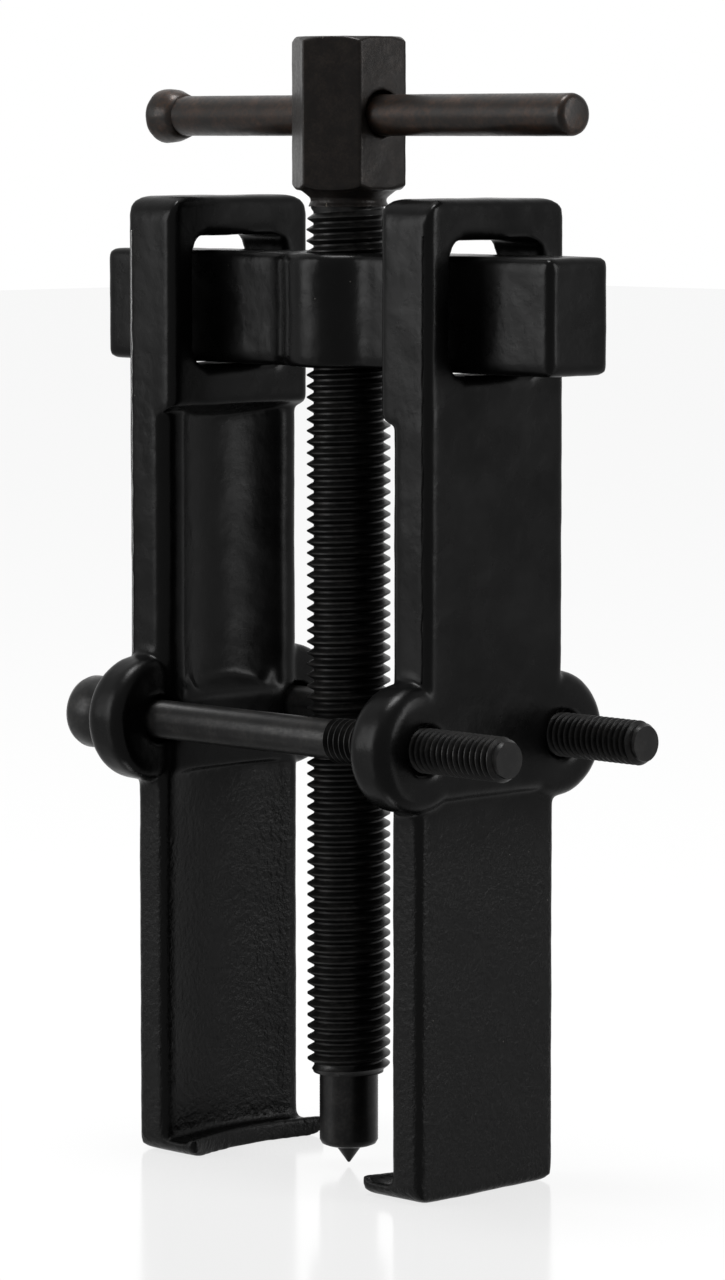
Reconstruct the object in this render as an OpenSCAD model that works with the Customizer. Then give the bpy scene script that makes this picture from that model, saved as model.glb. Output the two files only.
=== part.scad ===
// Two-jaw gear puller: a forcing screw in a crossbar, two forged jaws that slide along the
// crossbar on the slots in their heads, and two bolts that draw the jaws together.
// Z is the axis of the forcing screw, the jaws' feet stand on z = 0, and the crossbar lies along X.
// The bolts screw into the jaw on the +X side; their heads press on the other one.

/* [Jaws] */
// Height of a jaw from its foot to the top of its head
jaw_h = 131.7; // [120:0.1:170]
// Width of a jaw
jaw_w = 26; // [22:0.1:34]
// Distance between the outer faces of the two jaws
jaw_span = 58.1; // [56:0.1:68]
// How far the pair of jaws stands along the crossbar from its middle
jaw_shift = -1.15; // [-4:0.05:4]
// Thickness of a jaw above its ears
body_t = 7.5; // [6:0.1:9]
// Depth of the channel down the inner face of a jaw
channel_depth = 2.6; // [1:0.1:4]
// Width of the channel down the inner face of a jaw
channel_w = 19; // [12:0.1:20]
// Radius of a jaw's outer edges
edge_r = 1.3; // [0.6:0.1:2]
// Radius of a jaw's inner edges
inner_edge_r = 2.2; // [1:0.1:2.4]

/* [Legs and claws] */
// Height of the leg, up to the belt between the ears
leg_h = 53; // [40:0.5:56]
// Thickness of the leg
leg_t = 5.7; // [3.6:0.1:7]
// Step from the belt back to the outer face of the leg
leg_step = 1.5; // [0.6:0.1:2.4]
// Radius of the belt's lower outer edge
belt_r = 2.2; // [0.6:0.1:3]
// Depth of the hollow down the inner face of the leg
hollow_depth = 1.5; // [0.6:0.1:2.2]
// Width of the rim on each side of that hollow
rim_w = 2; // [1.5:0.1:4]
// Reach of the claw in front of the leg
claw_reach = 5.9; // [3:0.1:8]
// Thickness of the claw
claw_t = 2; // [1.4:0.1:4]
// Height of the lip along the claw's front edge
lip_h = 0.7; // [0.3:0.1:1.2]
// Depth of the curve in the claw's front edge
claw_curve = 2.6; // [0.5:0.1:4]
// Radius of a foot's two bottom corners
foot_corner_r = 2.5; // [0.5:0.1:4]
// Radius of a foot's outer bottom edge
foot_edge_r = 1.2; // [0.4:0.1:2]

/* [Jaw heads] */
// Thickness of the head
head_t = 9.3; // [8:0.1:12]
// Height of the rail under the slot
low_rail = 6.2; // [4:0.1:9]
// Height of the rail over the slot
top_rail = 5.4; // [4:0.1:9]
// Radius of the head's top corners
head_corner_r = 3.4; // [1.5:0.1:5]
// Radius that opens the mouths of the slot
mouth_r = 1.3; // [0.5:0.1:1.8]

/* [Ears] */
// Height of the clamp bolts above the feet
bolt_z = 60.4; // [52:0.1:66]
// Distance between the two clamp bolts
bolt_pitch = 26; // [22:0.1:34]
// Outside radius of an ear
ear_r = 8.5; // [8:0.1:11]
// Thickness of an ear
ear_t = 7; // [6:0.1:9]
// Radius of an ear's outer edge
ear_edge_r = 2.3; // [1:0.1:3]
// Radius of an ear's inner edge
ear_inner_r = 2; // [0.4:0.1:2.8]
// Radius where an ear runs into the side of the jaw
ear_fillet_r = 1.5; // [1:0.1:5]

/* [Crossbar] */
// Length of the crossbar
bar_len = 85; // [80:0.5:110]
// Width of the crossbar's arms
arm_w = 11.3; // [8:0.1:14]
// Height of the crossbar's arms
arm_h = 15.3; // [12:0.1:20]
// Radius of the arms' edges
arm_edge_r = 1.2; // [0.4:0.1:2]
// Radius of the boss that the screw runs in
boss_r = 8.8; // [8:0.1:13]
// How far the boss stands down below the arms
boss_drop = 0; // [0:0.1:3]
// Radius where the boss runs into the arms
boss_fillet_r = 6.5; // [1:0.1:8]
// Gap under an arm in its slot
seat_gap = 0.3; // [0.1:0.05:0.8]
// Gap over an arm in its slot
slot_top_gap = 2; // [0.5:0.1:5]
// Gap on each side of an arm in its slot
slot_side_gap = 2.85; // [0.3:0.05:4]

/* [Forcing screw] */
// Outside diameter of the screw
screw_d = 11.4; // [9:0.1:14]
// Radial clearance of a running thread
thread_gap = 0.05; // [0.02:0.01:0.1]
// Height of the point above the feet
point_z = 0.4; // [0:0.1:4]
// Gap between the crossbar and the screw's head
head_lift = 8.3; // [7:0.1:20]
// Diameter of the plain nose
nose_d = 8; // [6.6:0.1:8.8]
// Length of the plain nose
nose_len = 11; // [8:0.1:16]
// Diameter of the neck under the head
neck_d = 10.2; // [8:0.1:11.4]
// Length of the neck
neck_len = 1.6; // [1:0.1:6]
// Width across the flats of the head
hex_af = 14; // [13:0.5:19]
// Height of the head
hex_h = 20.4; // [16:0.1:28]

/* [Centre pin] */
// Diameter of the hardened pin in the nose
pin_d = 3.8; // [2.5:0.1:5]
// Length of the pin's point
pin_point = 2.5; // [1.5:0.1:4]
// Length of the pin inside the nose
pin_seat = 6; // [4:0.1:7]

/* [Tommy bar] */
// Diameter of the bar
tommy_d = 5.5; // [4:0.1:7]
// Length of the bar on the side of its flared end
tommy_left = 39.5; // [30:0.1:60]
// Length of the bar on the other side
tommy_right = 44.2; // [30:0.1:60]
// Angle between the bar and the crossbar
tommy_turn = -3.5; // [-180:0.5:180]
// Radial clearance of the hole for the bar
tommy_gap = 0.25; // [0.1:0.05:0.6]
// Diameter of the flared end
flare_d = 7.5; // [5.6:0.1:9]
// Length of the flared end
flare_len = 5.2; // [3:0.1:10]

/* [Clamp bolts] */
// Outside diameter of the bolts' thread
bolt_d = 6; // [5:0.5:7]
// Diameter of the bolts' plain shank
shank_d = 5.3; // [4.2:0.1:6]
// Length of the bolts from under the head
bolt_len = 74.4; // [66:0.1:90]
// Length of the thread
bolt_thread = 32; // [20:0.5:50]
// Radial clearance of the holes in the jaw under the heads
bolt_hole_gap = 0.3; // [0.1:0.05:0.8]
// Diameter of a bolt's head
bolt_head_d = 10; // [8.5:0.1:12]
// Height of a bolt's head
bolt_head_h = 6; // [4:0.1:8]
// Width across the flats of the socket in the head
socket_af = 5; // [3:0.5:6]
// Depth of the socket
socket_depth = 3; // [2:0.1:4]
// Outside diameter of a washer
washer_d = 12; // [10:0.1:15]
// Thickness of a washer
washer_t = 1.6; // [0.8:0.1:2.5]

/* [Hidden] */
$fn = 96;
EPS = 0.01;
OVER = 1; // how far a cutting tool runs past what it cuts

half_w = jaw_w / 2;
outer_x = jaw_span / 2;
body_x = outer_x - body_t;
leg_outer_x = outer_x - leg_step;
leg_x = leg_outer_x - leg_t;
head_x = outer_x - head_t;
claw_x = leg_x - claw_reach;
ear_x = outer_x - ear_t;

slot_w = arm_w + 2 * slot_side_gap;
slot_h = seat_gap + arm_h + slot_top_gap;
head_z = jaw_h - low_rail - slot_h - top_rail;
slot_z = head_z + low_rail;
arm_z = slot_z + seat_gap;
boss_z = arm_z - boss_drop;
boss_top_z = arm_z + arm_h;
head_slope = head_x < body_x ? (body_x - head_x) / 2 : 0; // rise of the head's sloped underside

nose_z = point_z + pin_point;
thread_z = nose_z + nose_len;
hex_z = boss_top_z + head_lift;
neck_z = hex_z - neck_len;
tommy_z = hex_z + hex_h / 2 - tommy_gap;
hex_chamfer = (hex_af / sqrt(3) - hex_af / 2) * tan(30);

bolt_y = bolt_pitch / 2;
bolt_run_gap = 0.05; // between a bolt's head and its washer
washer_x = jaw_shift - outer_x - washer_t;
bolt_head_x = washer_x - bolt_run_gap;
bolt_end_x = bolt_head_x + bolt_len;
shank_chamfer = 0.8;
tapped_mouth_r = bolt_d / 2 + 0.8;

BLACK_PAINT = "#161616";
BLACK_OXIDE = "#24221f";
BROWN_OXIDE = "#2b231d";

// ---- outlines ----

// Takes the corner at [x, y] off an outline. [sx, sy] points out of the outline at that corner.
module round_off(x, y, sx, sy, r) {
    translate([x - sx * r, y - sy * r]) mirror([sx < 0 ? 1 : 0, 0]) mirror([0, sy < 0 ? 1 : 0])
        difference() {
            square(r + EPS);
            circle(r);
        }
}

// A rectangle from [x0, y0] to [x1, y1] with rounded corners.
module round_rect(x0, y0, x1, y1, r) {
    difference() {
        translate([x0, y0]) square([x1 - x0, y1 - y0]);
        for (sx = [-1, 1], sy = [-1, 1])
            round_off(sx > 0 ? x1 : x0, sy > 0 ? y1 : y0, sx, sy, r);
    }
}

// The section of a jaw across its length, with x_in the face towards the screw.
module jaw_section(x_in, x_out, r_in) {
    difference() {
        translate([x_in, -half_w]) square([x_out - x_in, jaw_w]);
        for (s = [-1, 1]) {
            round_off(x_in, s * half_w, -1, s, r_in);
            round_off(x_out, s * half_w, 1, s, edge_r);
        }
    }
}

// The radius of an arc that is w wide and sinks in by depth.
function arc_r(w, depth) = (w * w / 4 + depth * depth) / (2 * depth);

// A hollow across the face at x_in, with its rims rounded by rim_r.
module hollow_section(x_in, w, depth, rim_r) {
    r = arc_r(w, depth);
    centre_x = x_in - r + depth;
    rim_x = x_in + rim_r;
    rim_y = sqrt(pow(r + rim_r, 2) - pow(rim_x - centre_x, 2));
    translate([centre_x, 0]) circle(r, $fn = 180);
    for (s = [-1, 1])
        difference() {
            polygon([[rim_x, s * rim_y], [x_in - EPS, s * rim_y], [centre_x, 0]]);
            translate([rim_x, s * rim_y]) circle(rim_r);
        }
}

// ---- directions of extrusion ----

module along_x(x0, x1) {
    translate([x0, 0, 0]) rotate([90, 0, 90]) linear_extrude(x1 - x0) children();
}

module along_y(w) {
    translate([0, w / 2, 0]) rotate([90, 0, 0]) linear_extrude(w) children();
}

module along_z(z0, z1) {
    translate([0, 0, z0]) linear_extrude(z1 - z0) children();
}

module rod_x(x0, x1, r, y = 0, z = 0) {
    translate([x0, y, z]) rotate([0, 90, 0]) cylinder(h = x1 - x0, r = r);
}

// ---- jaws ----

// The head seen from the end of the crossbar: a plate with the slot through it.
module jaw_head() {
    intersection() {
        along_z(head_z, jaw_h) jaw_section(head_x, outer_x, edge_r);
        along_x(head_x, outer_x) difference() {
            translate([-half_w, head_z]) square([jaw_w, jaw_h - head_z]);
            for (s = [-1, 1]) round_off(s * half_w, jaw_h, s, 1, head_corner_r);
        }
        along_y(jaw_w) difference() {
            polygon([[body_x, head_z], [outer_x, head_z], [outer_x, jaw_h], [head_x, jaw_h],
                     [head_x, head_z + head_slope]]);
            round_off(outer_x, jaw_h, 1, 1, edge_r);
            round_off(head_x, jaw_h, -1, 1, edge_r);
        }
    }
}

// The slot, with both its mouths opened by a quarter round.
module jaw_slot() {
    corner_r = 1.6;
    hw = slot_w / 2;
    along_x(head_x - OVER, outer_x + OVER) round_rect(-hw, slot_z, hw, slot_z + slot_h, corner_r);
    for (end = [-1, 1]) {
        face_x = end > 0 ? outer_x : head_x;
        for (z = [slot_z, slot_z + slot_h]) {
            up = z > slot_z ? 1 : -1;
            translate([0, hw - corner_r, 0]) rotate([90, 0, 0])
                linear_extrude(2 * (hw - corner_r))
                difference() {
                    translate([face_x - end * mouth_r, z]) mirror([end < 0 ? 1 : 0, 0])
                        mirror([0, up < 0 ? 1 : 0]) translate([0, -EPS]) square(mouth_r + EPS);
                    translate([face_x - end * mouth_r, z + up * mouth_r]) circle(mouth_r);
                }
        }
        for (s = [-1, 1])
            translate([0, 0, slot_z + corner_r])
                linear_extrude(slot_h - 2 * corner_r)
                difference() {
                    translate([face_x - end * mouth_r, s * hw]) mirror([end < 0 ? 1 : 0, 0])
                        mirror([0, s < 0 ? 1 : 0]) translate([0, -EPS]) square(mouth_r + EPS);
                    translate([face_x - end * mouth_r, s * (hw + mouth_r)]) circle(mouth_r);
                }
    }
}

// The plate between the head and the belt, with the channel that clears the screw.
module jaw_body() {
    rim_r = 0.8;
    channel_end_z = bolt_z + shank_d / 2;
    difference() {
        intersection() {
            along_z(leg_h, head_z + low_rail) jaw_section(body_x, outer_x, inner_edge_r);
            along_y(jaw_w) difference() {
                translate([body_x, leg_h]) square([body_t, head_z + low_rail - leg_h]);
                round_off(outer_x, leg_h, 1, -1, belt_r);
            }
        }
        intersection() {
            along_z(channel_end_z, head_z + low_rail + OVER)
                hollow_section(body_x, channel_w, channel_depth, rim_r);
            along_y(jaw_w) polygon([
                [body_x - head_t, channel_end_z],
                [body_x, channel_end_z],
                [body_x + channel_depth + OVER, channel_end_z + channel_depth + OVER],
                [body_x + channel_depth + OVER, head_z - channel_depth / 2],
                [body_x, head_z],
                [body_x - head_t, head_z]]);
        }
    }
}

// The thin leg under the belt, hollowed like the body.
module jaw_leg() {
    rim_r = 0.6;
    hollow_end_z = leg_h + 3;
    difference() {
        along_z(0, bolt_z) jaw_section(leg_x, leg_outer_x, edge_r);
        intersection() {
            along_z(claw_t, bolt_z) hollow_section(leg_x, jaw_w - 2 * rim_w, hollow_depth, rim_r);
            along_y(jaw_w) polygon([
                [leg_x - OVER, 0], [leg_x + leg_t, 0], [leg_x + leg_t, hollow_end_z + leg_t],
                [leg_x, hollow_end_z], [leg_x - OVER, hollow_end_z]]);
        }
    }
}

// The claw at the foot: a thin tongue with a curved front edge and a low lip along it.
module jaw_claw() {
    corner_r = 1.8;
    lip_w = 1.2;
    curve_r = arc_r(jaw_w, claw_curve);
    module tongue(back) {
        difference() {
            translate([claw_x, -half_w]) square([back - claw_x, jaw_w]);
            for (s = [-1, 1]) round_off(claw_x, s * half_w, -1, s, corner_r);
            translate([claw_x + claw_curve - curve_r, 0]) circle(curve_r, $fn = 180);
        }
    }
    along_z(0, claw_t) tongue(leg_x + leg_t / 2);
    along_z(claw_t - EPS, claw_t + lip_h) intersection() {
        tongue(leg_x);
        translate([claw_x + claw_curve - curve_r, 0]) circle(curve_r + lip_w, $fn = 180);
    }
}

// The leg and the claw with the foot's corners and its outer edge rounded.
module jaw_foot() {
    intersection() {
        union() {
            jaw_leg();
            jaw_claw();
        }
        along_x(claw_x - OVER, leg_outer_x) difference() {
            translate([-half_w, 0]) square([jaw_w, bolt_z]);
            for (s = [-1, 1]) round_off(s * half_w, 0, s, -1, foot_corner_r);
        }
        along_y(jaw_w) difference() {
            translate([claw_x - OVER, 0]) square([leg_outer_x - claw_x + OVER, bolt_z]);
            round_off(leg_outer_x, 0, 1, -1, foot_edge_r);
        }
    }
}

// An ear for a clamp bolt at y = 0, and the fillets that join it to the side of the jaw.
module jaw_ear() {
    translate([ear_x, 0, bolt_z]) rotate([0, 90, 0]) rotate_extrude()
        difference() {
            square([ear_r, ear_t]);
            round_off(ear_r, ear_t, 1, 1, ear_edge_r);
            round_off(ear_r, 0, 1, -1, ear_inner_r);
        }
}

module ear_fillets(side) {
    inset = half_w - bolt_y;
    reach = inset + ear_fillet_r;
    rise = sqrt(pow(ear_r + ear_fillet_r, 2) - pow(reach, 2));
    for (up = [-1, 1])
        along_x(ear_x + ear_inner_r, up > 0 ? outer_x - ear_edge_r : leg_outer_x - edge_r)
            difference() {
                polygon([
                    [side * bolt_y, bolt_z],
                    [side * half_w - side * OVER, bolt_z + up * rise],
                    [side * (half_w + ear_fillet_r), bolt_z + up * rise]]);
                translate([side * (half_w + ear_fillet_r), bolt_z + up * rise])
                    circle(ear_fillet_r);
            }
}

// A jaw on the +X side. hole_r is the radius of the bolt holes, and mouth is that of the
// chamfer at their outer ends, or 0 for none.
module jaw(hole_r, mouth) {
    difference() {
        union() {
            jaw_head();
            jaw_body();
            jaw_foot();
            for (s = [-1, 1]) {
                translate([0, s * bolt_y, 0]) jaw_ear();
                ear_fillets(s);
            }
        }
        jaw_slot();
        for (s = [-1, 1]) {
            rod_x(leg_x - 2 * OVER, outer_x + OVER, hole_r, s * bolt_y, bolt_z);
            if (mouth > hole_r)
                translate([outer_x - (mouth - hole_r), s * bolt_y, bolt_z]) rotate([0, 90, 0])
                    cylinder(h = mouth - hole_r + EPS, r1 = hole_r, r2 = mouth + EPS);
        }
    }
}

module right_jaw() {
    color(BLACK_PAINT) translate([jaw_shift, 0, 0]) jaw(bolt_d / 2 + thread_gap, tapped_mouth_r);
}

module left_jaw() {
    color(BLACK_PAINT) translate([jaw_shift, 0, 0]) mirror([1, 0, 0])
        jaw(bolt_d / 2 + bolt_hole_gap, 0);
}

// ---- crossbar ----

// The fillet that runs the boss into one side of an arm, with its top and bottom edges rounded.
module boss_fillet(sx, sy) {
    reach = arm_w / 2 + boss_fillet_r;
    fillet_x = sqrt(pow(boss_r + boss_fillet_r, 2) - pow(reach, 2));
    difference() {
        along_z(arm_z, boss_top_z) difference() {
            polygon([[0, 0], [sx * fillet_x, 0], [sx * fillet_x, sy * reach]]);
            translate([sx * fillet_x, sy * reach]) circle(boss_fillet_r);
        }
        translate([sx * fillet_x, sy * reach, arm_z]) rotate_extrude() {
            round_off(boss_fillet_r, 0, -1, -1, arm_edge_r);
            round_off(boss_fillet_r, arm_h, -1, 1, arm_edge_r);
        }
    }
}

module crossbar() {
    half_len = bar_len / 2;
    bore_r = screw_d / 2 + thread_gap;
    bore_chamfer = 0.6;
    boss_h = boss_top_z - boss_z;
    color(BLACK_PAINT) difference() {
        union() {
            intersection() {
                along_x(-half_len, half_len)
                    round_rect(-arm_w / 2, arm_z, arm_w / 2, arm_z + arm_h, arm_edge_r);
                along_y(arm_w)
                    round_rect(-half_len, arm_z, half_len, arm_z + arm_h, arm_edge_r);
                along_z(arm_z, arm_z + arm_h)
                    round_rect(-half_len, -arm_w / 2, half_len, arm_w / 2, arm_edge_r);
            }
            translate([0, 0, boss_z]) rotate_extrude() difference() {
                square([boss_r, boss_h]);
                round_off(boss_r, boss_h, 1, 1, arm_edge_r);
                round_off(boss_r, 0, 1, -1, arm_edge_r);
            }
            for (sx = [-1, 1], sy = [-1, 1]) boss_fillet(sx, sy);
        }
        translate([0, 0, boss_z - OVER]) cylinder(h = boss_h + 2 * OVER, r = bore_r);
        for (end = [-1, 1])
            translate([0, 0, end > 0 ? boss_top_z + EPS : boss_z - EPS]) mirror([0, 0, end > 0 ? 1 : 0])
                cylinder(h = bore_chamfer, r1 = bore_r + bore_chamfer, r2 = bore_r);
    }
}

// ---- forcing screw ----

module forcing_screw() {
    screw_r = screw_d / 2;
    nose_r = nose_d / 2;
    neck_r = neck_d / 2;
    hex_r = hex_af / sqrt(3);
    nose_chamfer = 0.7;
    run_out = 0.9;
    flare = 1.1;
    seat_r = pin_d / 2 + thread_gap;
    color(BLACK_OXIDE) difference() {
        union() {
            rotate_extrude() polygon([
                [0, nose_z],
                [nose_r - nose_chamfer, nose_z],
                [nose_r, nose_z + nose_chamfer],
                [nose_r, thread_z - run_out],
                [screw_r, thread_z],
                [screw_r, neck_z - run_out],
                [neck_r, neck_z],
                [neck_r, hex_z - flare],
                [hex_af / 2 - flare / 2, hex_z],
                [hex_af / 2 - flare / 2, hex_z + flare],
                [0, hex_z + flare]]);
            intersection() {
                translate([0, 0, hex_z]) rotate([0, 0, tommy_turn + 30])
                    cylinder(h = hex_h, r = hex_r, $fn = 6);
                rotate_extrude() polygon([
                    [0, hex_z],
                    [hex_af / 2, hex_z],
                    [hex_r, hex_z + hex_chamfer],
                    [hex_r, hex_z + hex_h - hex_chamfer],
                    [hex_af / 2, hex_z + hex_h],
                    [0, hex_z + hex_h]]);
            }
        }
        translate([0, 0, tommy_z + tommy_gap]) rotate([0, 0, tommy_turn])
            rod_x(-hex_af, hex_af, tommy_d / 2 + tommy_gap + thread_gap);
        translate([0, 0, nose_z - EPS]) cylinder(h = pin_seat + thread_gap + EPS, r = seat_r);
    }
}

module centre_pin() {
    tip_r = 0.15;
    color(BLACK_OXIDE) rotate_extrude() polygon([
        [0, point_z],
        [tip_r, point_z],
        [pin_d / 2, nose_z],
        [pin_d / 2, nose_z + pin_seat],
        [0, nose_z + pin_seat]]);
}

// ---- tommy bar ----

module tommy_bar() {
    r = tommy_d / 2;
    flare_r = flare_d / 2;
    chamfer = 0.6;
    waist = flare_len * 0.45;
    color(BROWN_OXIDE) translate([0, 0, tommy_z]) rotate([0, 0, tommy_turn]) rotate([0, 90, 0])
        rotate_extrude() polygon([
            [0, -tommy_left],
            [flare_r - chamfer, -tommy_left],
            [flare_r, -tommy_left + chamfer],
            [flare_r, -tommy_left + waist],
            [r, -tommy_left + flare_len],
            [r, tommy_right - chamfer],
            [r - chamfer, tommy_right],
            [0, tommy_right]]);
}

// ---- clamp bolts ----

module clamp_bolt(y) {
    head_r = bolt_head_d / 2;
    rim = 0.6;
    thread_x = bolt_end_x - bolt_thread;
    color(BLACK_OXIDE) translate([0, y, bolt_z]) difference() {
        rotate([0, 90, 0]) rotate_extrude() polygon([
            [0, bolt_head_x - bolt_head_h],
            [head_r - rim, bolt_head_x - bolt_head_h],
            [head_r, bolt_head_x - bolt_head_h + rim],
            [head_r, bolt_head_x],
            [shank_d / 2, bolt_head_x],
            [shank_d / 2, thread_x - rim],
            [bolt_d / 2, thread_x],
            [bolt_d / 2, bolt_end_x - shank_chamfer],
            [bolt_d / 2 - shank_chamfer, bolt_end_x],
            [0, bolt_end_x]]);
        translate([bolt_head_x - bolt_head_h - EPS, 0, 0]) rotate([0, 90, 0])
            cylinder(h = socket_depth, r = socket_af / sqrt(3), $fn = 6);
    }
}

module front_clamp_bolt() {
    clamp_bolt(-bolt_y);
}

module rear_clamp_bolt() {
    clamp_bolt(bolt_y);
}

module washer(y) {
    color(BLACK_OXIDE) difference() {
        rod_x(washer_x, washer_x + washer_t, washer_d / 2, y, bolt_z);
        rod_x(washer_x - OVER, washer_x + washer_t + OVER, bolt_d / 2 + bolt_hole_gap, y, bolt_z);
    }
}

module front_washer() {
    washer(-bolt_y);
}

module rear_washer() {
    washer(bolt_y);
}

crossbar();
left_jaw();
right_jaw();
forcing_screw();
centre_pin();
tommy_bar();
front_clamp_bolt();
rear_clamp_bolt();
front_washer();
rear_washer();
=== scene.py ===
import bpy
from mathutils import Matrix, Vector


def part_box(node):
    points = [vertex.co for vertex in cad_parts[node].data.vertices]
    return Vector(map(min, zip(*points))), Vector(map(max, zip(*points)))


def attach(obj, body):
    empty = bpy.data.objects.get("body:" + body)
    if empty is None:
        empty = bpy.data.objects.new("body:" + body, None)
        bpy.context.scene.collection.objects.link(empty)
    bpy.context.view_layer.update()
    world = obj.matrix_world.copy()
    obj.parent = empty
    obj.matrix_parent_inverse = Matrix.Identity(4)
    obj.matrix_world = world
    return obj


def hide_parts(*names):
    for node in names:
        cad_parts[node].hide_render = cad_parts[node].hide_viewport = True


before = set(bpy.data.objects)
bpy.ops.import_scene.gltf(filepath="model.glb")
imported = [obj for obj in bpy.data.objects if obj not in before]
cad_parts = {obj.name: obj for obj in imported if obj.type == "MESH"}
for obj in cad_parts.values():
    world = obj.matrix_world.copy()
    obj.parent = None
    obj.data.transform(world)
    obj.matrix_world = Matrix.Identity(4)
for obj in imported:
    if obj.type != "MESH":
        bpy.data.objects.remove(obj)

"""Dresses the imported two-jaw gear puller in painted forgings, cut threads and a studio stage.

Each piece is built around the CAD node it stands for, in metres, and rides on that node's body.
X lies along the crossbar, Z is the axis of the forcing screw, and the feet stand on z = 0.
"""

import math

import bmesh
import bpy
from bpy.props import FloatProperty, FloatVectorProperty, IntProperty, PointerProperty
from mathutils import Matrix, Vector, noise

bl_info = {
    "name": "Gear puller",
    "version": (1, 0, 0),
    "blender": (4, 5, 0),
    "location": "View3D > Sidebar > Puller",
    "description": "Painted jaws, threaded screws and a studio stage for a two-jaw gear puller",
    "category": "Object",
}

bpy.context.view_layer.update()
MM = 0.001
TURN = 2 * math.pi

# forgings
JAW_HALF_W = 13 * MM  # half the width of a jaw's body
CLEARANCE_R = 3.3 * MM  # the holes that the clamp bolts slide through
TAPPED_R = 3.05 * MM  # the holes that the clamp bolts screw into
BORE_BAND = 1.5 * MM  # the width around a bore in which the unevenness fades in
SEAM_LOW, SEAM_HIGH, SEAM_STEPS = 69 * MM, 127 * MM, 90  # the parting lines' ends

# turned pieces
THREAD_DEPTH = 0.6134  # height of a metric thread, as a share of its pitch
THREAD_FLANK = math.radians(30)  # slope of each side of a metric thread
STUB = 2 * MM  # how far a plain length reaches inside the thread that follows it
PIN_SEAT_R, PIN_SEAT_DEPTH = 1.95 * MM, 6.05 * MM

# stage
CAMERA_PLACE = (0.49326, -0.4846, 0.14029)
CAMERA_FORWARD = (-0.70801, 0.69933, -0.09828)
LIGHT_AIM = (0, 0, 0.07)
SOFTBOXES = (  # name, place, width and height, watts
    ("left_softbox", (-0.5, -0.8, 0.34), (0.45, 0.6), 8),
    ("right_softbox", (0.85, 0.4, 0.34), (0.3, 0.6), 8),
    ("top_softbox", (-0.1, -0.05, 0.9), (0.3, 0.3), 12),
)
WHITE = (1, 1, 1, 1)
ROOM_LIGHT = 0.45  # strength of the white world where it lights the part
FLOOR_GLOW = 0.9
MIRROR_SHARE, MIRROR_ROUGHNESS = 0.15, 0.14


def linear(code):
    """The linear colour of an sRGB hex value."""
    values = [int(code[i:i + 2], 16) / 255 for i in (1, 3, 5)]
    return tuple(v / 12.92 if v <= 0.04045 else ((v + 0.055) / 1.055) ** 2.4 for v in values)


def grey(value):
    """A neutral linear colour."""
    return (value, value, value)


def low(node):
    """The lowest corner of a CAD node's box."""
    return Vector(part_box(node)[0])


def high(node):
    """The highest corner of a CAD node's box."""
    return Vector(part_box(node)[1])


# ---- settings ----


class PullerForgingSettings(bpy.types.PropertyGroup):
    voxel: FloatProperty(
        name="Mesh grain", description="Size of the cells that a forging's mesh is rebuilt with",
        default=0.36 * MM, min=0.2 * MM, max=1 * MM, precision=5, unit="LENGTH")
    soften: IntProperty(
        name="Softening", description="Rounds of smoothing that soften a forging's edges",
        default=5, min=0, max=20)
    wave: FloatProperty(
        name="Waviness", description="Height of the hammered unevenness of a forged face",
        default=0.07 * MM, min=0, max=0.3 * MM, precision=5, unit="LENGTH")
    wave_length: FloatProperty(
        name="Wave length", description="Distance between the swells of a forged face",
        default=7 * MM, min=2 * MM, max=20 * MM, unit="LENGTH")
    seam_height: FloatProperty(
        name="Parting line height", description="Height of the line that the forging dies left",
        default=0.13 * MM, min=0, max=0.4 * MM, precision=5, unit="LENGTH")
    seam_inset: FloatProperty(
        name="Parting line inset",
        description="Distance from a jaw's outer face to its parting line",
        default=1.2 * MM, min=0.5 * MM, max=3 * MM, precision=5, unit="LENGTH")
    paint: FloatVectorProperty(
        name="Paint", description="Colour of the black enamel",
        default=linear("#040404"), size=3, min=0, max=1, subtype="COLOR")


class PullerScrewSettings(bpy.types.PropertyGroup):
    pitch: FloatProperty(
        name="Pitch", description="Rise of the forcing screw's thread in one turn",
        default=1.5 * MM, min=1 * MM, max=3 * MM, precision=5, unit="LENGTH")
    diameter: FloatProperty(
        name="Thread diameter", description="Outside diameter of the forcing screw's thread",
        default=11.3 * MM, min=8 * MM, max=14 * MM, precision=5, unit="LENGTH")
    bore: FloatProperty(
        name="Bore", description="Diameter of the hole in the crossbar that the screw runs in",
        default=11.5 * MM, min=8 * MM, max=14 * MM, precision=5, unit="LENGTH")
    nose_diameter: FloatProperty(
        name="Nose diameter", description="Diameter of the plain nose",
        default=8 * MM, min=6 * MM, max=9 * MM, precision=5, unit="LENGTH")
    nose_length: FloatProperty(
        name="Nose length", description="Length of the plain nose",
        default=11 * MM, min=5 * MM, max=16 * MM, precision=5, unit="LENGTH")
    head_height: FloatProperty(
        name="Head height", description="Height of the hexagonal head",
        default=20.4 * MM, min=10 * MM, max=30 * MM, precision=5, unit="LENGTH")
    neck_length: FloatProperty(
        name="Neck length", description="Length of the neck under the head",
        default=1.6 * MM, min=1 * MM, max=8 * MM, precision=5, unit="LENGTH")
    oxide: FloatVectorProperty(
        name="Oxide", description="Colour of the black oxide on the screw and the bolts",
        default=linear("#0b0b0b"), size=3, min=0, max=1, subtype="COLOR")


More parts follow.
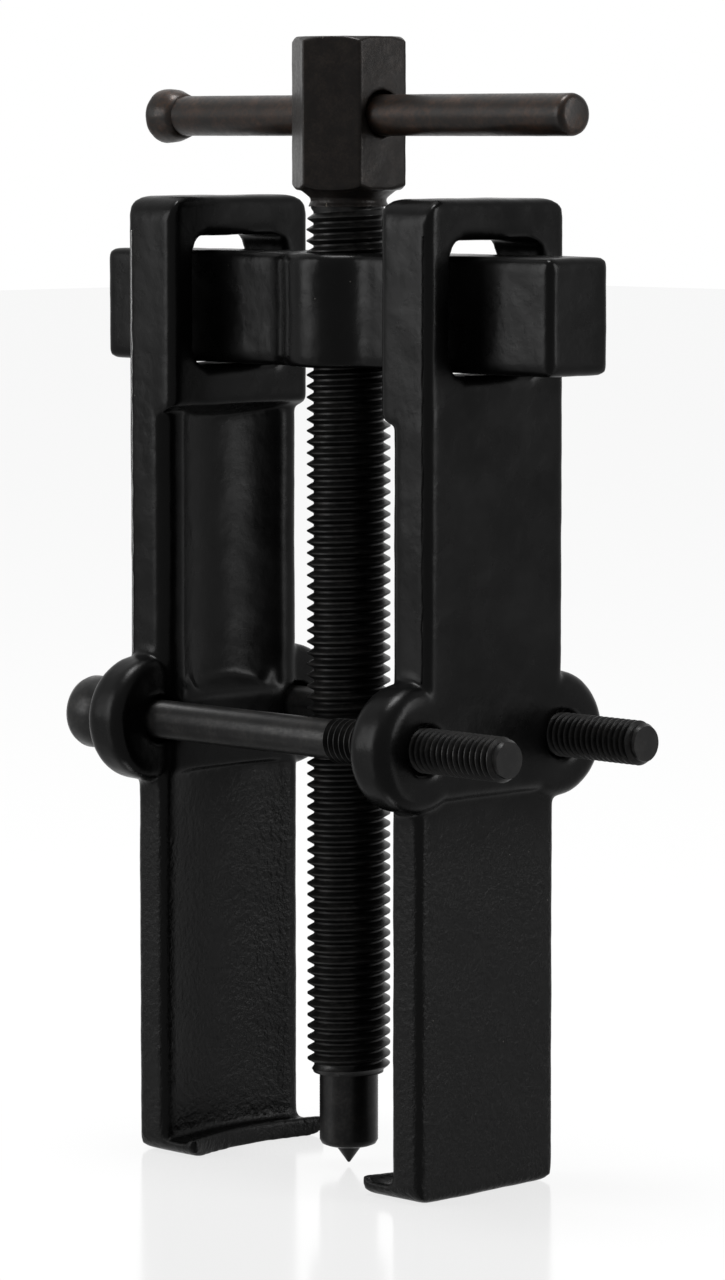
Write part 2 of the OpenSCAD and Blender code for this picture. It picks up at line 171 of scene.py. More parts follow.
class PullerBarSettings(bpy.types.PropertyGroup):
    turn: FloatProperty(
        name="Turn", description="Angle between the tommy bar and the crossbar",
        default=math.radians(-3.5), min=-math.pi, max=math.pi, subtype="ANGLE", unit="ROTATION")
    diameter: FloatProperty(
        name="Diameter", description="Diameter of the tommy bar",
        default=5.5 * MM, min=4 * MM, max=8 * MM, precision=5, unit="LENGTH")
    left: FloatProperty(
        name="Left length", description="Length of the bar on the side of its flared end",
        default=39.5 * MM, min=20 * MM, max=70 * MM, unit="LENGTH")
    right: FloatProperty(
        name="Right length", description="Length of the bar on the plain side",
        default=44.2 * MM, min=20 * MM, max=70 * MM, unit="LENGTH")
    flare_diameter: FloatProperty(
        name="Flare diameter", description="Diameter of the hammered end",
        default=7.5 * MM, min=5.5 * MM, max=10 * MM, precision=5, unit="LENGTH")
    flare_length: FloatProperty(
        name="Flare length", description="Length of the hammered end",
        default=5.2 * MM, min=3 * MM, max=12 * MM, precision=5, unit="LENGTH")
    brown: FloatVectorProperty(
        name="Brown oxide", description="Colour of the bar's heat-browned scale",
        default=linear("#110e0c"), size=3, min=0, max=1, subtype="COLOR")


class PullerBoltSettings(bpy.types.PropertyGroup):
    pitch: FloatProperty(
        name="Pitch", description="Rise of a clamp bolt's thread in one turn",
        default=1 * MM, min=0.5 * MM, max=2 * MM, precision=5, unit="LENGTH")
    diameter: FloatProperty(
        name="Thread diameter", description="Outside diameter of a clamp bolt's thread",
        default=5.95 * MM, min=4 * MM, max=8 * MM, precision=5, unit="LENGTH")
    shank: FloatProperty(
        name="Shank diameter", description="Diameter of a clamp bolt's plain shank",
        default=5.3 * MM, min=4 * MM, max=6 * MM, precision=5, unit="LENGTH")
    thread: FloatProperty(
        name="Thread length", description="Length of a clamp bolt's thread",
        default=32 * MM, min=10 * MM, max=60 * MM, unit="LENGTH")
    head_height: FloatProperty(
        name="Head height", description="Height of a clamp bolt's head",
        default=6 * MM, min=3 * MM, max=10 * MM, precision=5, unit="LENGTH")
    socket: FloatProperty(
        name="Socket", description="Width of the round socket in a clamp bolt's head",
        default=5 * MM, min=2.5 * MM, max=6 * MM, precision=5, unit="LENGTH")
    socket_depth: FloatProperty(
        name="Socket depth", description="Depth of a clamp bolt's socket",
        default=3 * MM, min=1 * MM, max=5 * MM, precision=5, unit="LENGTH")


class PullerStageSettings(bpy.types.PropertyGroup):
    floor_size: FloatProperty(
        name="Floor size", description="Width of the white floor",
        default=6, min=1, max=20, unit="LENGTH")
    lens: FloatProperty(
        name="Lens", description="Focal length of the camera in millimetres",
        default=144.59, min=50, max=300)
    floor: FloatVectorProperty(
        name="Floor", description="Colour of the acrylic floor",
        default=grey(0.05), size=3, min=0, max=1, subtype="COLOR")


# ---- meshes ----


def take_mesh(bm, name, smooth_angle=None):
    """Closes a bmesh into an object at the origin, smooth but for edges sharper than the angle."""
    mesh = bpy.data.meshes.new(name)
    bm.to_mesh(mesh)
    bm.free()
    mesh.shade_smooth()
    if smooth_angle is not None:
        mesh.set_sharp_from_angle(angle=math.radians(smooth_angle))
    piece = bpy.data.objects.new(name, mesh)
    bpy.context.scene.collection.objects.link(piece)
    return piece


def dress(piece, body, slot, material, *nodes):
    """Gives a piece its body and material, and hides the CAD nodes it stands for; slot is not
    used.
    """
    piece.data.materials.clear()
    piece.data.materials.append(material)
    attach(piece, body)
    if nodes:
        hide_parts(*nodes)


def spun(profile, steps):
    """A closed shell turned around Z from a profile of (radius, height) points."""
    bm = bmesh.new()
    verts = [bm.verts.new((radius, 0, height)) for radius, height in profile]
    edges = [bm.edges.new(pair) for pair in zip(verts, verts[1:])]
    bmesh.ops.spin(bm, geom=verts + edges, cent=(0, 0, 0), axis=(0, 0, 1), angle=TURN,
                   steps=steps, use_merge=True, use_duplicate=False)
    bmesh.ops.remove_doubles(bm, verts=bm.verts, dist=1e-7)
    bmesh.ops.recalc_face_normals(bm, faces=bm.faces)
    return bm


def trim(bm, height, up):
    """Cuts a shell level at a height, clears the side up (1 or -1) points to, and closes it."""
    cut = bmesh.ops.bisect_plane(
        bm, geom=bm.verts[:] + bm.edges[:] + bm.faces[:], dist=1e-8,
        plane_co=(0, 0, height), plane_no=(0, 0, up), clear_outer=True)
    rim = [e for e in cut["geom_cut"] if isinstance(e, bmesh.types.BMEdge)]
    bmesh.ops.holes_fill(bm, edges=rim, sides=0)


def threaded(bottom, top, crest, pitch, ease_bottom, ease_top, steps=48):
    """A closed right-hand thread around Z that fades out at both ends."""
    depth = THREAD_DEPTH * pitch
    root = crest - depth
    flank = depth * math.tan(THREAD_FLANK)
    crest_flat = pitch / 8
    root_flat = pitch - crest_flat - 2 * flank
    start = bottom - pitch
    outline = [(root, 0), (root, root_flat), (crest, root_flat + flank),
               (crest, root_flat + flank + crest_flat), (root, pitch)]
    turns = math.ceil((top - bottom) / pitch) + 2
    bm = bmesh.new()
    verts = [bm.verts.new((radius, 0, start + rise)) for radius, rise in outline]
    edges = [bm.edges.new(pair) for pair in zip(verts, verts[1:])]
    bmesh.ops.spin(bm, geom=verts + edges, cent=(0, 0, 0), axis=(0, 0, 1), angle=TURN * turns,
                   dvec=(0, 0, pitch / steps), steps=steps * turns, use_duplicate=False)
    bmesh.ops.remove_doubles(bm, verts=bm.verts, dist=pitch / 200)
    for vert in bm.verts:
        radius = math.hypot(vert.co.x, vert.co.y)
        room = min((vert.co.z - bottom) / ease_bottom, (top - vert.co.z) / ease_top, 1)
        limit = root + depth * max(room, 0)
        if radius > limit:
            vert.co.xy *= limit / radius
    trim(bm, bottom, -1)
    trim(bm, top, 1)
    bmesh.ops.recalc_face_normals(bm, faces=bm.faces)
    return bm


def bead(points, radius, sides=6):
    """A closed thin bead along upright points."""
    bm = bmesh.new()
    rings = [bmesh.ops.create_circle(bm, cap_ends=False, segments=sides, radius=radius,
                                     matrix=Matrix.Translation(point))["verts"]
             for point in points]
    for pair in zip(rings, rings[1:]):
        loops = dict.fromkeys(edge for ring in pair for vert in ring for edge in vert.link_edges
                              if edge.other_vert(vert) in ring)
        bmesh.ops.bridge_loops(bm, edges=list(loops))
    rims = [edge for edge in bm.edges if len(edge.link_faces) == 1]
    bmesh.ops.holes_fill(bm, edges=rims, sides=0)
    bmesh.ops.recalc_face_normals(bm, faces=bm.faces)
    return bm


def joined(first, second):
    """One bmesh from two."""
    mesh = bpy.data.meshes.new("shell")
    second.to_mesh(mesh)
    second.free()
    first.from_mesh(mesh)
    bpy.data.meshes.remove(mesh)
    return first


def lay_along_x(bm, place, turn=0):
    """Lays a shape built around Z along X, turns it by turn around Z and moves it to place."""
    bmesh.ops.transform(bm, verts=bm.verts, matrix=Matrix.Translation(place)
                        @ Matrix.Rotation(turn, 4, "Z") @ Matrix.Rotation(math.pi / 2, 4, "Y"))


def merged_copy(node):
    """A bmesh of a CAD node with its loose triangles joined."""
    bm = bmesh.new()
    bm.from_mesh(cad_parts[node].data)
    bmesh.ops.remove_doubles(bm, verts=bm.verts, dist=1e-6)
    return bm


def rebuilt(bm, voxel):
    """A bmesh of even cells with the same shape, from a closed bmesh."""
    mesh = bpy.data.meshes.new("rebuilt")
    bm.to_mesh(mesh)
    bm.free()
    helper = bpy.data.objects.new("rebuilt", mesh)
    bpy.context.scene.collection.objects.link(helper)
    remesh = helper.modifiers.new("Cells", "REMESH")
    remesh.mode = "VOXEL"
    remesh.voxel_size = voxel
    remesh.adaptivity = 0
    fine = bpy.data.meshes.new_from_object(
        helper.evaluated_get(bpy.context.evaluated_depsgraph_get()))
    bpy.data.objects.remove(helper)
    bpy.data.meshes.remove(mesh)
    bm = bmesh.new()
    bm.from_mesh(fine)
    bpy.data.meshes.remove(fine)
    return bm


def soften(bm, rounds):
    """Eases the edges of an evenly celled bmesh."""
    for _ in range(rounds):
        bmesh.ops.smooth_vert(bm, verts=bm.verts, factor=0.5,
                              use_axis_x=True, use_axis_y=True, use_axis_z=True)


def uneven(bm, height, length, keep=None):
    """Moves the surface in and out as a forged one swells, by keep(co) times as much if given."""
    bm.normal_update()
    moves = []
    for vert in bm.verts:
        spot = vert.co / length
        lift = noise.noise(spot) + 0.5 * noise.noise(spot * 2.3 + Vector((7, 3, 1)))
        lift += 0.22 * noise.noise(spot * 6.1 + Vector((2, 9, 4)))
        share = keep(vert.co) if keep else 1
        moves.append(vert.normal * lift * height * share)
    for vert, move in zip(bm.verts, moves):
        vert.co += move


def forged(node, sizes, keep):
    """A bmesh of a CAD node with a drop forging's eased edges and gentle swells."""
    bm = rebuilt(merged_copy(node), sizes.voxel)
    soften(bm, sizes.soften)
    uneven(bm, sizes.wave, sizes.wave_length, keep)
    return bm


def off_bore(away, radius):
    """0 at a bore's wall and 1 from BORE_BAND outside it, for a point this far from the axis."""
    return min(max((away - radius) / BORE_BAND, 0), 1)


def true_bore(bm, axis, centre, radius, reach=0.25 * MM):
    """Brings a bore's wall back to its radius. axis is 0 or 2, centre the other two places."""
    across = [i for i in range(3) if i != axis]
    for vert in bm.verts:
        away = Vector((vert.co[across[0]] - centre[0], vert.co[across[1]] - centre[1]))
        length = away.length
        if abs(length - radius) < reach:
            for i, place in enumerate(across):
                vert.co[place] = centre[i] + away[i] * radius / length


def seam_points(seam_x, side, face):
    """Points of the wandering parting line up one narrow face of a jaw's body."""
    points = []
    for step in range(SEAM_STEPS + 1):
        z = SEAM_LOW + (SEAM_HIGH - SEAM_LOW) * step / SEAM_STEPS
        wander = 0.22 * MM * noise.noise(Vector((face * 9, side * 5, z / (2.5 * MM))))
        ripple = 0.1 * MM * noise.noise(Vector((face * 3, side * 7, z / (0.9 * MM))))
        points.append(Vector((seam_x + wander + ripple, face * (JAW_HALF_W - 0.02 * MM), z)))
    return points


def turned_nose(foot, length, radius):
    """A closed nose with the pin's seat, faint turning rings and a stub inside the thread."""
    chamfer, ring_step, ring_depth = 0.8 * MM, 0.2 * MM, 0.025 * MM
    seat, end = foot + PIN_SEAT_DEPTH, foot + length + STUB
    profile = [(0, seat), (PIN_SEAT_R, seat), (PIN_SEAT_R, foot), (radius - 0.9 * MM, foot),
               (radius - 0.3 * MM, foot + 0.25 * MM), (radius, foot + chamfer)]
    for ring in range(1, round(length / ring_step)):
        profile.append((radius - ring_depth * (ring % 2), foot + chamfer + ring * ring_step))
    return spun(profile + [(radius, end), (0, end)], 72)


def hammered_bar(left, right, radius, flare, flare_end):
    """A closed bar around Z from left to right, whose left end is upset to the radius flare."""
    plain_steps, long_edge = 60, 0.6 * MM
    plain = right - 0.8 * MM - flare_end
    spots = [(0, left), (flare - 1.1 * MM, left), (flare - 0.4 * MM, left + 0.25 * MM),
             (flare, left + 0.9 * MM), (flare - 0.05 * MM, left + 2 * MM),
             (flare - 0.15 * MM, left + 3 * MM), (radius + 0.25 * MM, left + 5 * MM)]
    spots += [(radius, flare_end + plain * i / plain_steps) for i in range(plain_steps + 1)]
    spots += [(radius - 0.15 * MM, right - 0.35 * MM), (radius - 0.5 * MM, right - 0.08 * MM),
              (radius - 1 * MM, right), (0, right)]
    bm = spun(spots, 48)
    long_edges = [e for e in bm.edges if abs(e.verts[0].co.z - e.verts[1].co.z) > long_edge]
    bmesh.ops.subdivide_edges(bm, edges=long_edges, cuts=1, use_grid_fill=True)
    hammered, drawn = 2.2, 0.35
    uneven(bm, 0.05 * MM, 3 * MM, lambda co: hammered if co.z < flare_end else drawn)
    return bm


def cap_bolt(head_z, end_z, head_r, sizes):
    """A closed bolt around Z: socketed head from head_z, plain shank, and thread up to end_z."""
    under_z, floor_z = head_z + sizes.head_height, head_z + sizes.socket_depth
    thread_z = end_z - sizes.thread
    stub_z = thread_z + STUB
    shank_r, socket_r, crest = sizes.shank / 2, sizes.socket / 2, sizes.diameter / 2
    root = crest - THREAD_DEPTH * sizes.pitch
    shank = spun([
        (0, floor_z), (socket_r, floor_z), (socket_r, head_z + 0.3 * MM),
        (socket_r + 0.3 * MM, head_z), (head_r - 0.9 * MM, head_z),
        (head_r - 0.25 * MM, head_z + 0.25 * MM), (head_r, head_z + 0.9 * MM),
        (head_r, under_z - 0.2 * MM), (head_r - 0.2 * MM, under_z),
        (shank_r + 0.3 * MM, under_z), (shank_r, under_z + 0.3 * MM),
        (shank_r, thread_z - 0.2 * MM), (root, thread_z + 0.8 * MM),
        (root, stub_z), (0, stub_z)], 72)
    thread = threaded(thread_z - 0.6 * MM, end_z, crest, sizes.pitch, 1.2 * MM, 1.1 * MM, 40)
    return joined(thread, shank)


# ---- materials ----


def add_node(tree, kind, inputs=None, **settings):
    """Adds a node. inputs maps a socket's name or number to a value or another node's socket."""
    node = tree.nodes.new(kind)
    for name, value in settings.items():
        setattr(node, name, value)
    for name, value in (inputs or {}).items():
        socket = node.inputs[name]
        if isinstance(value, bpy.types.NodeSocket):
            tree.links.new(value, socket)
        else:
            socket.default_value = value
    return node


def new_material(name):
    """A material with an empty node tree, and the tree."""
    material = bpy.data.materials.new(name)
    material.use_nodes = True
    material.node_tree.nodes.clear()
    return material, material.node_tree


def ramp(tree, factor, *stops):
    """A colour ramp through (position, colour) stops."""
    node = add_node(tree, "ShaderNodeValToRGB", {"Fac": factor})
    for element, (position, colour) in zip(node.color_ramp.elements, stops):
        element.position = position
        element.color = (*colour, 1)
    return node.outputs["Color"]


def noise_at(tree, place, size, detail=4):
    """Even noise whose swells are about size metres across."""
    return add_node(tree, "ShaderNodeTexNoise", {
        "Vector": place, "Scale": 1 / size, "Detail": detail, "Roughness": 0.6}).outputs["Fac"]


def maths(tree, operation, first, second):
    """One step of arithmetic on sockets or numbers."""
    return add_node(tree, "ShaderNodeMath", {0: first, 1: second}, operation=operation).outputs[0]


def specks(tree, place, cell, share, size):
    """1 inside small round specks that fill only a share of the cells, and 0 elsewhere."""
    cells = add_node(tree, "ShaderNodeTexVoronoi", {"Vector": place, "Scale": 1 / cell})
    chance = add_node(tree, "ShaderNodeSeparateColor", {"Color": cells.outputs["Color"]})
    picked = maths(tree, "LESS_THAN", chance.outputs["Red"], share)
    inside = maths(tree, "LESS_THAN", cells.outputs["Distance"], size / cell)
    return maths(tree, "MULTIPLY", picked, inside)


def scratches(tree, place, cell, width, share):
    """1 along a few thin wandering scratches, and 0 elsewhere."""
    bent = add_node(tree, "ShaderNodeTexNoise", {"Vector": place, "Scale": 0.5 / cell})
    drift = add_node(tree, "ShaderNodeVectorMath",
                     {0: bent.outputs["Color"], 1: (cell, cell, cell)}, operation="MULTIPLY")
    moved = add_node(tree, "ShaderNodeVectorMath", {0: place, 1: drift.outputs[0]},
                     operation="ADD")
    cells = add_node(tree, "ShaderNodeTexVoronoi", {"Vector": moved.outputs[0],
                                                    "Scale": 1 / cell},
                     feature="DISTANCE_TO_EDGE")
    line = maths(tree, "LESS_THAN", cells.outputs["Distance"], width / cell)
    patch = maths(tree, "LESS_THAN", noise_at(tree, place, 1.3 * cell, 1), share)
    return maths(tree, "MULTIPLY", line, patch)


def blend(tree, factor, first, second):
    """The colour between two colours. The first one may also be another node's socket."""
    if not isinstance(first, bpy.types.NodeSocket):
        first = (*first, 1)
    return add_node(tree, "ShaderNodeMix", {0: factor, 6: first, 7: (*second, 1)},
                    data_type="RGBA").outputs[2]


def bumps(tree, *layers):
    """The normal under layers of (height socket, strength, depth)."""
    normal = None
    for height, strength, depth in layers:
        inputs = {"Height": height, "Strength": strength, "Distance": depth}
        if normal is not None:
            inputs["Normal"] = normal
        normal = add_node(tree, "ShaderNodeBump", inputs).outputs["Normal"]
    return normal


def black_enamel(name, colour, level):
    """Dipped black enamel on a drop forging: glossy orange peel, pitted on the legs, dusty."""
    material, tree = new_material(name)
    place = add_node(tree, "ShaderNodeTexCoord").outputs["Object"]
    rise = add_node(tree, "ShaderNodeSeparateXYZ", {"Vector": place}).outputs["Z"]
    leg = add_node(tree, "ShaderNodeMapRange", {
        "Value": rise, "From Min": 54 * MM, "From Max": 44 * MM,
        "To Min": 0.12, "To Max": 1}).outputs["Result"]
    peel = noise_at(tree, place, 0.5 * MM, 3)
    pitting = noise_at(tree, place, 0.8 * MM)
    swell = noise_at(tree, place, 9 * MM)
    dust = specks(tree, place, 2.2 * MM, 0.03, 0.09 * MM)
    shader = add_node(tree, "ShaderNodeBsdfPrincipled", {
        "Base Color": blend(tree, dust, colour, linear("#44423f")),
        "Roughness": ramp(tree, swell, (0.3, grey(0.2)), (0.7, grey(0.36))),
        "Normal": bumps(tree, (peel, 0.3, 0.02 * MM), (pitting, leg, 0.2 * MM)),
        "Specular IOR Level": level})
    add_node(tree, "ShaderNodeOutputMaterial", {"Surface": shader.outputs["BSDF"]})
    return material


def oxide_steel(name, colour, worn, grain, level, mark=None):
    """Oxide-blackened steel: dull and dark, speckled where worn, scratched if a mark is given."""
    material, tree = new_material(name)
    place = add_node(tree, "ShaderNodeTexCoord").outputs["Object"]
    marks = noise_at(tree, place, grain, 5)
    stain = noise_at(tree, place, 6 * grain)
    wear = maths(tree, "MULTIPLY", marks, stain)
    tint = ramp(tree, wear, (0.2, colour), (0.5, worn))
    if mark:
        tint = blend(tree, scratches(tree, place, 5 * MM, 0.02 * MM, 0.42), tint, mark)
    shader = add_node(tree, "ShaderNodeBsdfPrincipled", {
        "Base Color": tint,
        "Roughness": ramp(tree, marks, (0.3, grey(0.42)), (0.7, grey(0.28))),
        "Normal": bumps(tree, (marks, 0.35, 0.03 * MM)),
        "Metallic": 0.2,
        "Specular IOR Level": level})
    add_node(tree, "ShaderNodeOutputMaterial", {"Surface": shader.outputs["BSDF"]})
    return material


def named_material(name, make, *values, **options):
    """The material of that name, made the first time that it is asked for."""
    return bpy.data.materials.get(name) or make(name, *values, **options)


def jaw_enamel(context):
    """The enamel of the jaws and the crossbar."""
    return named_material("black_enamel", black_enamel,
                          tuple(context.scene.puller_forging.paint), level=0.06)


def rubbed_enamel():
    """Enamel rubbed bright, as on the left jaw's parting line."""
    return named_material("rubbed_enamel", black_enamel, grey(0.05), level=1)


def screw_oxide(context):
    """The oiled black oxide of the screw, its pin, the bolts and the washers."""
    return named_material("oiled_black_oxide", oxide_steel,
                          tuple(context.scene.puller_screw.oxide), linear("#232221"),
                          grain=0.5 * MM, level=0.11)


def head_oxide():
    """The brown-black oxide of the screw's head, scratched by spanners."""
    return named_material("scratched_oxide", oxide_steel, linear("#12100f"), linear("#221e1b"),
                          grain=0.35 * MM, level=0.07, mark=linear("#5a554e"))


def bar_scale(context):
    """The brown-black mill scale of the tommy bar, with specks of rust."""
    return named_material("browned_scale", oxide_steel, tuple(context.scene.puller_bar.brown),
                          linear("#32231a"), grain=0.6 * MM, level=0.13)


def seen_directly(tree):
    """1 for rays from the eye or from a reflection, and 0 for those that carry light."""
    path = add_node(tree, "ShaderNodeLightPath")
    seen = maths(tree, "MAXIMUM", path.outputs["Is Camera Ray"], path.outputs["Is Glossy Ray"])
    return maths(tree, "MAXIMUM", seen, path.outputs["Is Transmission Ray"])


def white_floor(colour):
    """Glossy white acrylic that glows to the eye, with a soft shadow and a faint mirror."""
    material, tree = new_material("white_acrylic")
    glow = maths(tree, "MULTIPLY", seen_directly(tree), FLOOR_GLOW)
    shader = add_node(tree, "ShaderNodeBsdfPrincipled", {
        "Base Color": (*colour, 1), "Roughness": 1, "Specular IOR Level": 0,
        "Emission Color": WHITE, "Emission Strength": glow})
    mirror = add_node(tree, "ShaderNodeBsdfGlossy",
                      {"Color": WHITE, "Roughness": MIRROR_ROUGHNESS})
    mix = add_node(tree, "ShaderNodeMixShader", {
        0: MIRROR_SHARE, 1: shader.outputs["BSDF"], 2: mirror.outputs["BSDF"]})
    add_node(tree, "ShaderNodeOutputMaterial", {"Surface": mix.outputs[0]})
    return material


# ---- operators ----


class PULLER_OT_jaws(bpy.types.Operator):
    """Model the two forged jaws"""

    bl_idname = "puller.jaws"
    bl_label = "Jaws"

    def execute(self, context):
        sizes = context.scene.puller_forging
        paint = jaw_enamel(context)
        bolt_y = (low("front_clamp_bolt").y + high("front_clamp_bolt").y) / 2
        bolt_z = (low("front_clamp_bolt").z + high("front_clamp_bolt").z) / 2
        for node, side, hole, line in (("left_jaw", -1, CLEARANCE_R, rubbed_enamel()),
                                       ("right_jaw", 1, TAPPED_R, paint)):
            outer = high(node).x if side > 0 else low(node).x
            seam_x = outer - side * sizes.seam_inset

            def keep(co):
                away = min(math.hypot(co.y - y, co.z - bolt_z) for y in (bolt_y, -bolt_y))
                return off_bore(away, hole)

            bm = forged(node, sizes, keep)
            for y in (bolt_y, -bolt_y):
                true_bore(bm, 0, (y, bolt_z), hole)
            piece = take_mesh(bm, node + "_forging")
            dress(piece, node, "black_paint", paint, node)

            near, far = [bead(seam_points(seam_x, side, face), sizes.seam_height)
                         for face in (-1, 1)]
            piece = take_mesh(joined(near, far), node + "_parting_line")
            dress(piece, node, "black_paint", line)
        return {"FINISHED"}


class PULLER_OT_crossbar(bpy.types.Operator):
    """Model the forged crossbar"""

    bl_idname = "puller.crossbar"
    bl_label = "Crossbar"

    def execute(self, context):
        bore = context.scene.puller_screw.bore / 2
        bm = forged("crossbar", context.scene.puller_forging,
                    lambda co: off_bore(math.hypot(co.x, co.y), bore))
        true_bore(bm, 2, (0, 0), bore)
        piece = take_mesh(bm, "crossbar_forging")
        dress(piece, "crossbar", "black_paint", jaw_enamel(context), "crossbar")
        return {"FINISHED"}


class PULLER_OT_forcing_screw(bpy.types.Operator):
    """Model the forcing screw: nose, thread, neck and hexagonal head"""

    bl_idname = "puller.forcing_screw"
    bl_label = "Forcing screw"

    def execute(self, context):
        sizes = context.scene.puller_screw
        nose_z = low("forcing_screw").z
        thread_z = nose_z + sizes.nose_length
        neck_z = high("forcing_screw").z - sizes.head_height - sizes.neck_length
        nose = turned_nose(nose_z, sizes.nose_length, sizes.nose_diameter / 2)
        thread = threaded(thread_z - 0.9 * MM, neck_z + 0.4 * MM, sizes.diameter / 2, sizes.pitch,
                          1.2 * MM, 3 * MM)
        piece = take_mesh(joined(thread, nose), "screw_thread", 50)
        dress(piece, "forcing_screw", "black_oxide", screw_oxide(context), "forcing_screw")

        head = merged_copy("forcing_screw")
        trim(head, neck_z - 0.6 * MM, -1)
        head = rebuilt(head, 0.2 * MM)
        soften(head, 3)
        uneven(head, 0.035 * MM, 3 * MM)
        piece = take_mesh(head, "screw_head")
        dress(piece, "forcing_screw", "black_oxide", head_oxide())
        return {"FINISHED"}


class PULLER_OT_centre_pin(bpy.types.Operator):
    """Model the hardened centre pin"""

    bl_idname = "puller.centre_pin"
    bl_label = "Centre pin"

    def execute(self, context):
        foot, top = low("centre_pin").z, high("centre_pin").z
        radius = high("centre_pin").x
        cone = low("forcing_screw").z
        bm = spun([(0, foot), (0.12 * MM, foot + 0.02 * MM), (0.22 * MM, foot + 0.12 * MM),
                   (radius - 0.1 * MM, cone - 0.15 * MM), (radius, cone),
                   (radius, top - 0.2 * MM), (radius - 0.2 * MM, top), (0, top)], 48)
        piece = take_mesh(bm, "centre_pin_turned", 35)
        dress(piece, "centre_pin", "black_oxide", screw_oxide(context), "centre_pin")
        return {"FINISHED"}


class PULLER_OT_tommy_bar(bpy.types.Operator):
    """Model the tommy bar with its hammered end"""

    bl_idname = "puller.tommy_bar"
    bl_label = "Tommy bar"

    def execute(self, context):
        sizes = context.scene.puller_bar
        height = (low("tommy_bar").z + high("tommy_bar").z) / 2
        bm = hammered_bar(-sizes.left, sizes.right, sizes.diameter / 2, sizes.flare_diameter / 2,
                          -sizes.left + sizes.flare_length)
        lay_along_x(bm, (0, 0, height), sizes.turn)
        piece = take_mesh(bm, "tommy_bar_forged", 45)
        dress(piece, "tommy_bar", "brown_oxide", bar_scale(context), "tommy_bar")
        return {"FINISHED"}


class PULLER_OT_clamp_bolts(bpy.types.Operator):
    """Model the two clamp bolts with their threads"""

    bl_idname = "puller.clamp_bolts"
    bl_label = "Clamp bolts"

    def execute(self, context):
        for node in ("front_clamp_bolt", "rear_clamp_bolt"):
            first, last = low(node), high(node)
            centre = (first + last) / 2
            bm = cap_bolt(first.x, last.x, (last.z - first.z) / 2, context.scene.puller_bolts)
            lay_along_x(bm, (0, centre.y, centre.z))
            piece = take_mesh(bm, node + "_steel", 50)
            dress(piece, node, "black_oxide", screw_oxide(context), node)
        return {"FINISHED"}


class PULLER_OT_washers(bpy.types.Operator):
    """Model the washers under the bolts' heads"""

    bl_idname = "puller.washers"
    bl_label = "Washers"

    def execute(self, context):
        hole, edge = CLEARANCE_R, 0.25 * MM
        for node in ("front_washer", "rear_washer"):
            first, last = low(node), high(node)
            centre = (first + last) / 2
            rim = (last.z - first.z) / 2
            bm = spun([
                (hole, first.x + edge), (hole + edge, first.x), (rim - edge, first.x),
                (rim, first.x + edge), (rim, last.x - edge), (rim - edge, last.x),
                (hole + edge, last.x), (hole, last.x - edge), (hole, first.x + edge)], 64)
            lay_along_x(bm, (0, centre.y, centre.z))
            piece = take_mesh(bm, node + "_pressed", 30)
            dress(piece, "left_jaw", "black_oxide", screw_oxide(context), node)
        return {"FINISHED"}


def softbox(name, place, size, power):
    """A soft white box at place, turned towards the middle of the part."""
    data = bpy.data.lights.new(name, "AREA")
    data.shape = "RECTANGLE"
    data.size, data.size_y = size
    data.energy = power
    lamp = bpy.data.objects.new(name, data)
    lamp.location = place
    lamp.rotation_euler = (Vector(LIGHT_AIM) - Vector(place)).to_track_quat("-Z", "Y").to_euler()
    bpy.context.scene.collection.objects.link(lamp)


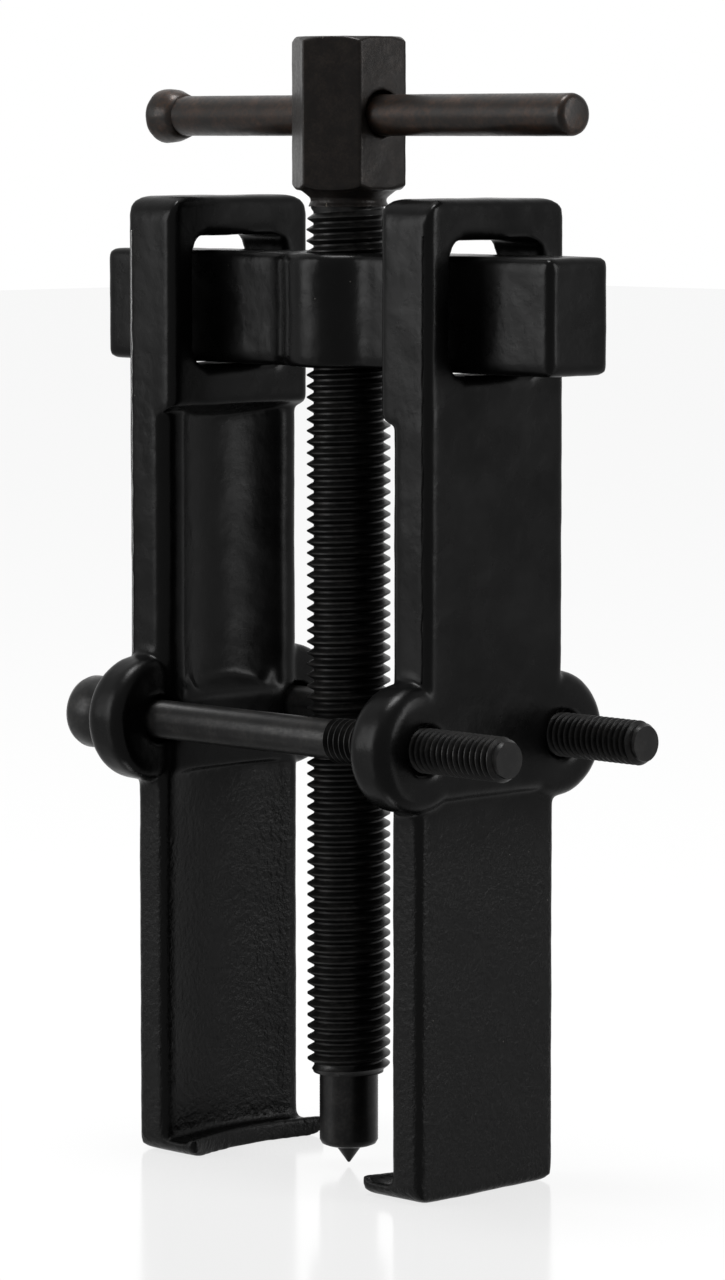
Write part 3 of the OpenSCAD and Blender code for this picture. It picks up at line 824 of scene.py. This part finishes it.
class PULLER_OT_stage(bpy.types.Operator):
    """Set the floor, the lights, the world and the camera"""

    bl_idname = "puller.stage"
    bl_label = "Stage"

    def execute(self, context):
        sizes = context.scene.puller_stage
        scene = context.scene
        bm = bmesh.new()
        bmesh.ops.create_grid(bm, x_segments=1, y_segments=1, size=sizes.floor_size / 2)
        floor = take_mesh(bm, "floor")
        floor.data.materials.append(white_floor(tuple(sizes.floor)))

        world = bpy.data.worlds.new("white_sweep")
        scene.world = world
        world.use_nodes = True
        tree = world.node_tree
        tree.nodes.clear()
        room = add_node(tree, "ShaderNodeBackground", {"Color": WHITE, "Strength": ROOM_LIGHT})
        white = add_node(tree, "ShaderNodeBackground", {"Color": WHITE, "Strength": 1})
        mix = add_node(tree, "ShaderNodeMixShader", {0: seen_directly(tree),
                                                     1: room.outputs[0], 2: white.outputs[0]})
        add_node(tree, "ShaderNodeOutputWorld", {"Surface": mix.outputs[0]})

        for light in SOFTBOXES:
            softbox(*light)

        data = bpy.data.cameras.new("camera")
        data.lens = sizes.lens
        data.sensor_fit = "VERTICAL"
        data.sensor_height = 36
        data.clip_start = 0.01
        camera = bpy.data.objects.new("camera", data)
        camera.location = CAMERA_PLACE
        camera.rotation_euler = Vector(CAMERA_FORWARD).to_track_quat("-Z", "Y").to_euler()
        scene.collection.objects.link(camera)
        scene.camera = camera
        scene.view_settings.view_transform = "Standard"
        return {"FINISHED"}


class PULLER_PT_parts(bpy.types.Panel):
    """The puller's pieces and their sizes"""

    bl_idname = "PULLER_PT_parts"
    bl_label = "Gear puller"
    bl_space_type = "VIEW_3D"
    bl_region_type = "UI"
    bl_category = "Puller"

    def draw(self, context):
        for name, operators in SECTIONS:
            column = self.layout.column(align=True)
            for operator in operators:
                column.operator(operator.bl_idname)
            settings = getattr(context.scene, name)
            for key in settings.__annotations__:
                column.prop(settings, key)


SECTIONS = (
    ("puller_forging", (PULLER_OT_jaws, PULLER_OT_crossbar)),
    ("puller_screw", (PULLER_OT_forcing_screw, PULLER_OT_centre_pin)),
    ("puller_bar", (PULLER_OT_tommy_bar,)),
    ("puller_bolts", (PULLER_OT_clamp_bolts, PULLER_OT_washers)),
    ("puller_stage", (PULLER_OT_stage,)),
)
SETTINGS = {
    "puller_forging": PullerForgingSettings,
    "puller_screw": PullerScrewSettings,
    "puller_bar": PullerBarSettings,
    "puller_bolts": PullerBoltSettings,
    "puller_stage": PullerStageSettings,
}


def register():
    for name, kind in SETTINGS.items():
        bpy.utils.register_class(kind)
        setattr(bpy.types.Scene, name, PointerProperty(type=kind))
    for _, operators in SECTIONS:
        for operator in operators:
            bpy.utils.register_class(operator)
    bpy.utils.register_class(PULLER_PT_parts)


def unregister():
    bpy.utils.unregister_class(PULLER_PT_parts)
    for _, operators in SECTIONS:
        for operator in operators:
            bpy.utils.unregister_class(operator)
    for name, kind in SETTINGS.items():
        delattr(bpy.types.Scene, name)
        bpy.utils.unregister_class(kind)


def main():
    register()
    for _, operators in SECTIONS:
        for operator in operators:
            group, action = operator.bl_idname.split(".")
            getattr(getattr(bpy.ops, group), action)()


if __name__ == "__main__":
    main()
